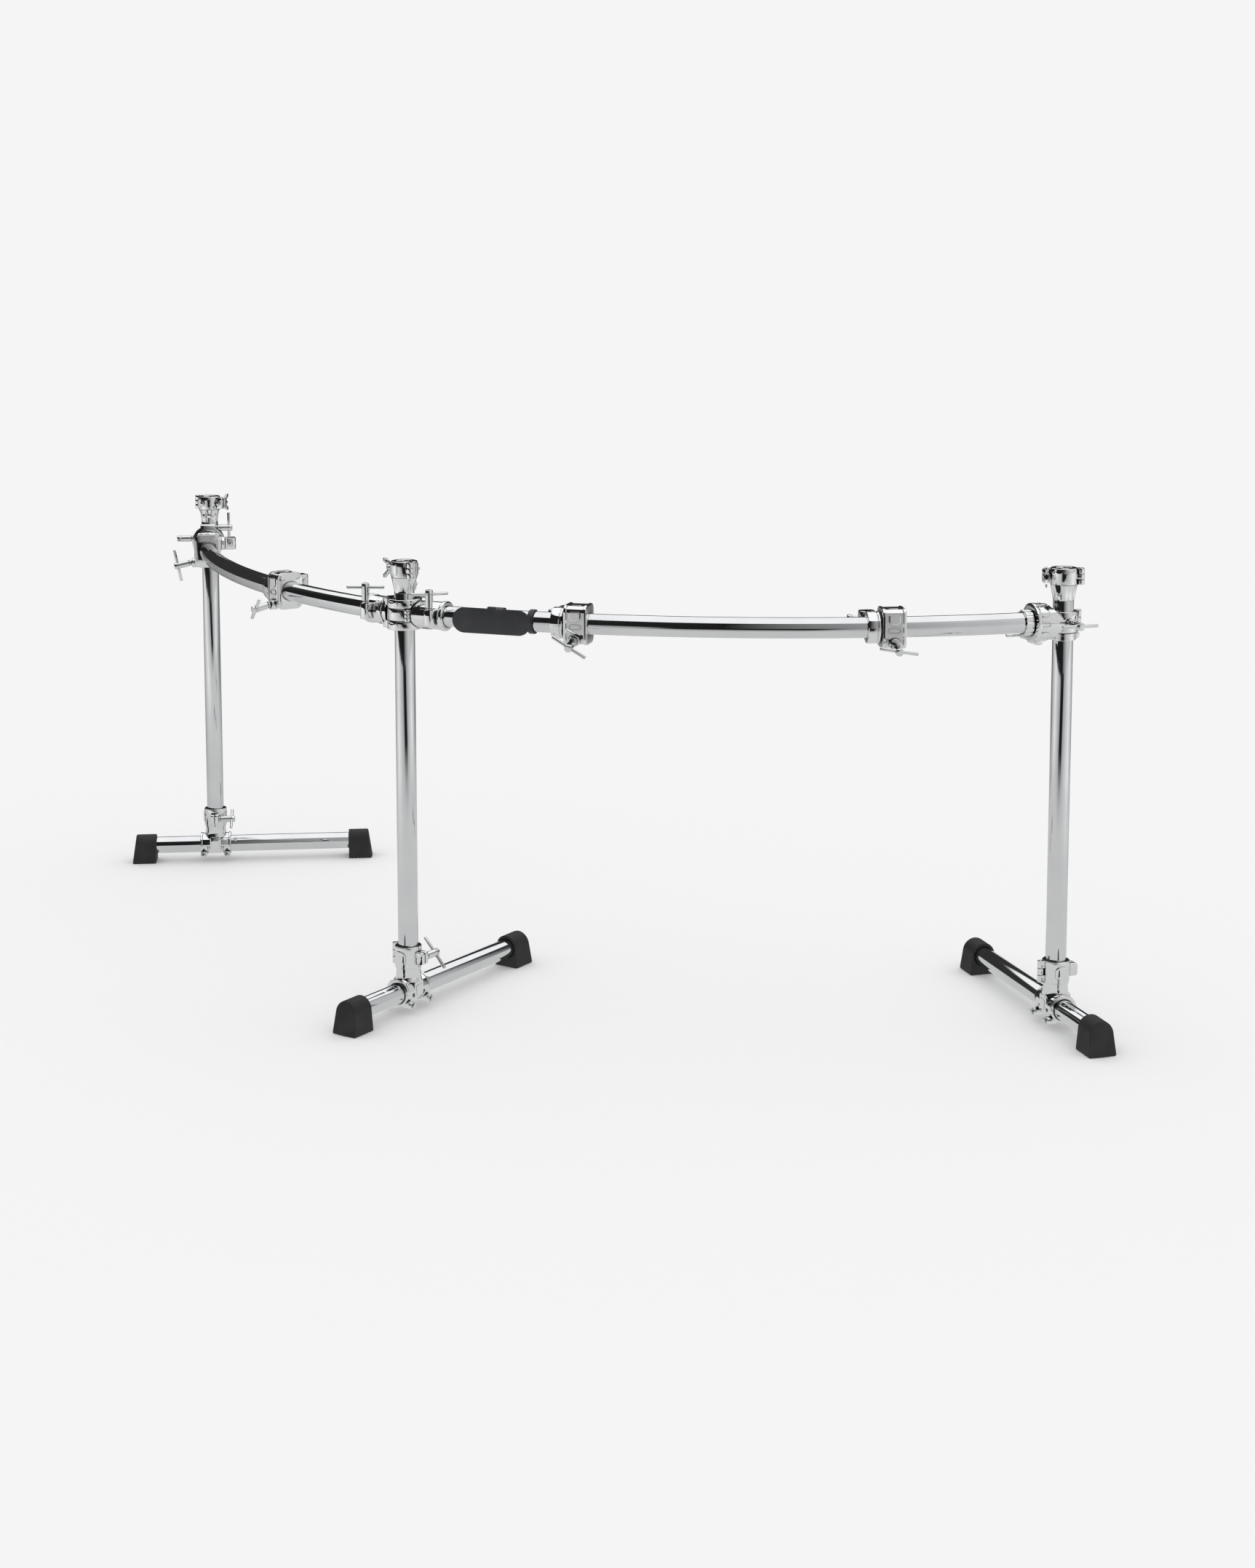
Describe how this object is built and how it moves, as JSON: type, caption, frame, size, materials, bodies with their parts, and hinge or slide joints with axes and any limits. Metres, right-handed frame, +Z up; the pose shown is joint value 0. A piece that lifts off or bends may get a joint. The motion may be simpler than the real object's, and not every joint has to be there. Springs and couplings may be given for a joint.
{
  "type": "drum rack frame",
  "caption": "Free-standing curved drum rack: bent chrome tubes clamped to upright posts with T-shaped feet, hinged clamps, T-bolts, rod sockets and sliding accessory clamps.",
  "frame": {"origin": "middle of the footprint, on the floor", "axes": "+Z up; +Y towards the player, inside the curve; +X from the middle post towards the end of the right bar"},
  "size_m": [2.4618, 1.0494, 0.8676],
  "materials": {
    "tube_chrome": "polished plated steel tube",
    "cast_chrome": "plated die casting, slightly soft",
    "screw_chrome": "plated turned screws and nuts",
    "foot_rubber": "matt moulded rubber",
    "plate_plastic": "satin moulded plastic"
  },
  "bodies": {
    "middle_leg": {"middle_post": "tube_chrome", "middle_foot_clamp": "cast_chrome", "middle_foot_strap": "cast_chrome"},
    "right_leg": {"right_post": "tube_chrome", "right_foot_clamp": "cast_chrome", "right_foot_strap": "cast_chrome"},
    "left_leg": {"left_post": "tube_chrome", "left_foot_clamp": "cast_chrome", "left_foot_strap": "cast_chrome"},
    "right_wing": {"right_bar": "tube_chrome", "name_plate": "plate_plastic", "right_outer_clamp": "cast_chrome", "right_inner_clamp": "cast_chrome"},
    "left_wing": {"left_bar": "tube_chrome", "left_outer_clamp": "cast_chrome", "left_inner_clamp": "cast_chrome"},
    "middle_foot_slider": {"middle_foot_bar": "tube_chrome", "middle_outer_foot": "foot_rubber", "middle_inner_foot": "foot_rubber"},
    "middle_foot_gate_leaf": {"middle_foot_gate": "cast_chrome"},
    "middle_foot_screw": {"middle_foot_t_bolt": "screw_chrome"},
    "middle_rod_holder": {"middle_rod_clamp": "cast_chrome"},
    "middle_rod_jaw_leaf": {"middle_rod_jaw": "cast_chrome"},
    "middle_rod_screw": {"middle_wing_screw": "screw_chrome"},
    "right_foot_slider": {"right_foot_bar": "tube_chrome", "right_outer_foot": "foot_rubber", "right_inner_foot": "foot_rubber"},
    "right_foot_gate_leaf": {"right_foot_gate": "cast_chrome"},
    "right_foot_screw": {"right_foot_t_bolt": "screw_chrome"},
    "right_rod_holder": {"right_rod_clamp": "cast_chrome"},
    "right_rod_jaw_leaf": {"right_rod_jaw": "cast_chrome"},
    "right_rod_screw": {"right_wing_screw": "screw_chrome"},
    "left_foot_slider": {"left_foot_bar": "tube_chrome", "left_outer_foot": "foot_rubber", "left_inner_foot": "foot_rubber"},
    "left_foot_gate_leaf": {"left_foot_gate": "cast_chrome"},
    "left_foot_screw": {"left_foot_t_bolt": "screw_chrome"},
    "left_rod_holder": {"left_rod_clamp": "cast_chrome"},
    "left_rod_jaw_leaf": {"left_rod_jaw": "cast_chrome"},
    "left_rod_screw": {"left_wing_screw": "screw_chrome"},
    "right_outer_gate_leaf": {"right_outer_gate": "cast_chrome"},
    "right_outer_screw": {"right_outer_post_bolt": "screw_chrome"},
    "left_outer_gate_leaf": {"left_outer_gate": "cast_chrome"},
    "left_outer_screw": {"left_outer_post_bolt": "screw_chrome"},
    "right_inner_gate_leaf": {"right_inner_gate": "cast_chrome"},
    "right_inner_screw": {"right_inner_post_bolt": "screw_chrome"},
    "left_inner_screw": {"left_inner_post_bolt": "screw_chrome"},
    "clamp_1": {"accessory_clamp_1": "cast_chrome"},
    "clamp_1_screw": {"accessory_t_bolt_1": "screw_chrome"},
    "holder_1": {"rod_holder_1": "cast_chrome"},
    "clamp_2": {"accessory_clamp_2": "cast_chrome"},
    "clamp_2_screw": {"accessory_t_bolt_2": "screw_chrome"},
    "holder_2": {"rod_holder_2": "cast_chrome"},
    "clamp_3": {"accessory_clamp_3": "cast_chrome"},
    "clamp_3_screw": {"accessory_t_bolt_3": "screw_chrome"},
    "holder_3": {"rod_holder_3": "cast_chrome"},
    "clamp_4": {"accessory_clamp_4": "cast_chrome"},
    "clamp_4_screw": {"accessory_t_bolt_4": "screw_chrome"},
    "holder_4": {"rod_holder_4": "cast_chrome"}
  },
  "joints": [
    {"name": "right_wing_swing", "type": "hinge", "parent": "middle_leg", "child": "right_wing", "pos_m": [0, -0.33041, 0.765], "axis": [0, 0, 1], "range_deg": [-20, 15]},
    {"name": "left_wing_swing", "type": "hinge", "parent": "middle_leg", "child": "left_wing", "pos_m": [0, -0.33041, 0.765], "axis": [0, 0, 1], "range_deg": [-15, 20]},
    {"name": "right_leg_turn", "type": "hinge", "parent": "right_wing", "child": "right_leg", "pos_m": [1.06382, 0.26902, 0.765], "axis": [0, 0, 1], "range_deg": [-90, 90]},
    {"name": "left_leg_turn", "type": "hinge", "parent": "left_wing", "child": "left_leg", "pos_m": [-1.06382, 0.26902, 0.765], "axis": [0, 0, 1], "range_deg": [-90, 90]},
    {"name": "middle_foot_slide", "type": "slide", "parent": "middle_leg", "child": "middle_foot_slider", "axis": [0, 1, 0], "range_m": [-0.06, 0.06]},
    {"name": "middle_foot_gate_hinge", "type": "hinge", "parent": "middle_leg", "child": "middle_foot_gate_leaf", "pos_m": [-0.031, -0.33041, 0.10465], "axis": [0, 0, 1], "range_deg": [0, 95]},
    {"name": "middle_foot_screw_turn", "type": "hinge", "parent": "middle_foot_gate_leaf", "child": "middle_foot_screw", "pos_m": [0.033, -0.32111, 0.10465], "axis": [0, 1, 0], "range_deg": [0, 270]},
    {"name": "middle_rod_clamp_swivel", "type": "hinge", "parent": "middle_leg", "child": "middle_rod_holder", "pos_m": [0, -0.33041, 0.804], "axis": [0, 0, 1], "continuous": true},
    {"name": "middle_rod_jaw_hinge", "type": "hinge", "parent": "middle_rod_holder", "child": "middle_rod_jaw_leaf", "pos_m": [0.02641, -0.34566, 0.84865], "axis": [0, 0, 1], "range_deg": [0, 70]},
    {"name": "middle_wing_screw_turn", "type": "hinge", "parent": "middle_rod_jaw_leaf", "child": "middle_rod_screw", "pos_m": [-0.03193, -0.32271, 0.84865], "axis": [-0.5, -0.866, 0], "range_deg": [0, 270]},
    {"name": "right_foot_slide", "type": "slide", "parent": "right_leg", "child": "right_foot_slider", "axis": [-0.7696, 0.6385, 0], "range_m": [-0.06, 0.06]},
    {"name": "right_foot_gate_hinge", "type": "hinge", "parent": "right_leg", "child": "right_foot_gate_leaf", "pos_m": [1.04402, 0.24516, 0.10465], "axis": [0, 0, 1], "range_deg": [0, 95]},
    {"name": "right_foot_screw_turn", "type": "hinge", "parent": "right_foot_gate_leaf", "child": "right_foot_screw", "pos_m": [1.07773, 0.30036, 0.10465], "axis": [-0.7696, 0.6385, 0], "range_deg": [0, 270]},
    {"name": "right_rod_clamp_swivel", "type": "hinge", "parent": "right_leg", "child": "right_rod_holder", "pos_m": [1.06382, 0.26902, 0.804], "axis": [0, 0, 1], "continuous": true},
    {"name": "right_rod_jaw_hinge", "type": "hinge", "parent": "right_rod_holder", "child": "right_rod_jaw_leaf", "pos_m": [1.09179, 0.28118, 0.84865], "axis": [0, 0, 1], "range_deg": [0, 70]},
    {"name": "right_wing_screw_turn", "type": "hinge", "parent": "right_rod_jaw_leaf", "child": "right_rod_screw", "pos_m": [1.03864, 0.24793, 0.84865], "axis": [0.3987, -0.9171, 0], "range_deg": [0, 270]},
    {"name": "left_foot_slide", "type": "slide", "parent": "left_leg", "child": "left_foot_slider", "axis": [0.7696, 0.6385, 0], "range_m": [-0.06, 0.06]},
    {"name": "left_foot_gate_hinge", "type": "hinge", "parent": "left_leg", "child": "left_foot_gate_leaf", "pos_m": [-1.08361, 0.29288, 0.10465], "axis": [0, 0, 1], "range_deg": [0, 95]},
    {"name": "left_foot_screw_turn", "type": "hinge", "parent": "left_foot_gate_leaf", "child": "left_foot_screw", "pos_m": [-1.03559, 0.24956, 0.10465], "axis": [0.7696, 0.6385, 0], "range_deg": [0, 270]},
    {"name": "left_rod_clamp_swivel", "type": "hinge", "parent": "left_leg", "child": "left_rod_holder", "pos_m": [-1.06382, 0.26902, 0.804], "axis": [0, 0, 1], "continuous": true},
    {"name": "left_rod_jaw_hinge", "type": "hinge", "parent": "left_rod_holder", "child": "left_rod_jaw_leaf", "pos_m": [-1.09385, 0.26373, 0.84865], "axis": [0, 0, 1], "range_deg": [0, 70]},
    {"name": "left_wing_screw_turn", "type": "hinge", "parent": "left_rod_jaw_leaf", "child": "left_rod_screw", "pos_m": [-1.03441, 0.28365, 0.84865], "axis": [-0.1736, 0.9848, 0], "range_deg": [0, 270]},
    {"name": "right_outer_gate_hinge", "type": "hinge", "parent": "right_wing", "child": "right_outer_gate_leaf", "pos_m": [1.08329, 0.2925, 0.765], "axis": [0, 0, 1], "range_deg": [0, 80]},
    {"name": "right_outer_screw_turn", "type": "hinge", "parent": "right_outer_gate_leaf", "child": "right_outer_screw", "pos_m": [1.09245, 0.24527, 0.765], "axis": [0.7696, -0.6385, 0], "range_deg": [0, 270]},
    {"name": "left_outer_gate_hinge", "type": "hinge", "parent": "left_wing", "child": "left_outer_gate_leaf", "pos_m": [-1.08329, 0.2925, 0.765], "axis": [0, 0, -1], "range_deg": [0, 80]},
    {"name": "left_outer_screw_turn", "type": "hinge", "parent": "left_outer_gate_leaf", "child": "left_outer_screw", "pos_m": [-1.09245, 0.24527, 0.765], "axis": [-0.7696, -0.6385, 0], "range_deg": [0, 270]},
    {"name": "right_inner_gate_hinge", "type": "hinge", "parent": "right_wing", "child": "right_inner_gate_leaf", "pos_m": [0.02538, -0.35451, 0.765], "axis": [0, 0, 1], "range_deg": [0, 75]},
    {"name": "right_inner_screw_turn", "type": "hinge", "parent": "right_wing", "child": "right_inner_screw", "pos_m": [0.01776, -0.29772, 0.765], "axis": [0.4775, 0.8786, 0], "range_deg": [0, 270]},
    {"name": "left_inner_screw_turn", "type": "hinge", "parent": "left_wing", "child": "left_inner_screw", "pos_m": [-0.01945, -0.2987, 0.78525], "axis": [-0.5228, 0.8525, 0], "range_deg": [0, 270]},
    {"name": "clamp_1_slide", "type": "hinge", "parent": "right_wing", "child": "clamp_1", "pos_m": [-0.1944, 1.25829, 0.765], "axis": [0, 0, 1], "range_deg": [-0.9, 8.59]},
    {"name": "clamp_1_screw_turn", "type": "hinge", "parent": "clamp_1", "child": "clamp_1_screw", "pos_m": [0.35299, -0.28453, 0.738], "axis": [0.3197, -0.9244, -0.2079], "range_deg": [0, 270]},
    {"name": "holder_1_swivel", "type": "hinge", "parent": "clamp_1", "child": "holder_1", "pos_m": [0.29712, -0.23158, 0.775], "axis": [-0.3269, 0.9451, 0], "range_deg": [-90, 90]},
    {"name": "clamp_2_slide", "type": "hinge", "parent": "right_wing", "child": "clamp_2", "pos_m": [-0.1944, 1.25829, 0.765], "axis": [0, 0, 1], "range_deg": [-8.59, 6.8]},
    {"name": "clamp_2_screw_turn", "type": "hinge", "parent": "clamp_2", "child": "clamp_2_screw", "pos_m": [0.85749, 0.00391, 0.738], "axis": [0.6225, -0.7545, -0.2079], "range_deg": [0, 270]},
    {"name": "holder_2_swivel", "type": "hinge", "parent": "clamp_2", "child": "holder_2", "pos_m": [0.78663, 0.034, 0.775], "axis": [-0.6364, 0.7713, 0], "range_deg": [-90, 90]},
    {"name": "clamp_3_slide", "type": "hinge", "parent": "left_wing", "child": "clamp_3", "pos_m": [0.1944, 1.25829, 0.765], "axis": [0, 0, 1], "range_deg": [-8.59, 8.59]},
    {"name": "clamp_3_screw_turn", "type": "hinge", "parent": "clamp_3", "child": "clamp_3_screw", "pos_m": [-0.39481, -0.26904, 0.738], "axis": [-0.3593, -0.9098, -0.2079], "range_deg": [0, 270]},
    {"name": "holder_3_swivel", "type": "hinge", "parent": "clamp_3", "child": "holder_3", "pos_m": [-0.40275, -0.19248, 0.775], "axis": [0.3673, 0.9301, 0], "range_deg": [-90, 90]},
    {"name": "clamp_4_slide", "type": "hinge", "parent": "left_wing", "child": "clamp_4", "pos_m": [0.1944, 1.25829, 0.765], "axis": [0, 0, 1], "range_deg": [-1.79, 8.59]},
    {"name": "clamp_4_screw_turn", "type": "hinge", "parent": "clamp_4", "child": "clamp_4_screw", "pos_m": [-0.94895, 0.08667, 0.738], "axis": [-0.6887, -0.6946, -0.2079], "range_deg": [0, 270]},
    {"name": "holder_4_swivel", "type": "hinge", "parent": "clamp_4", "child": "holder_4", "pos_m": [-0.92607, 0.16017, 0.775], "axis": [0.7041, 0.7101, 0], "range_deg": [-90, 90]}
  ]
}
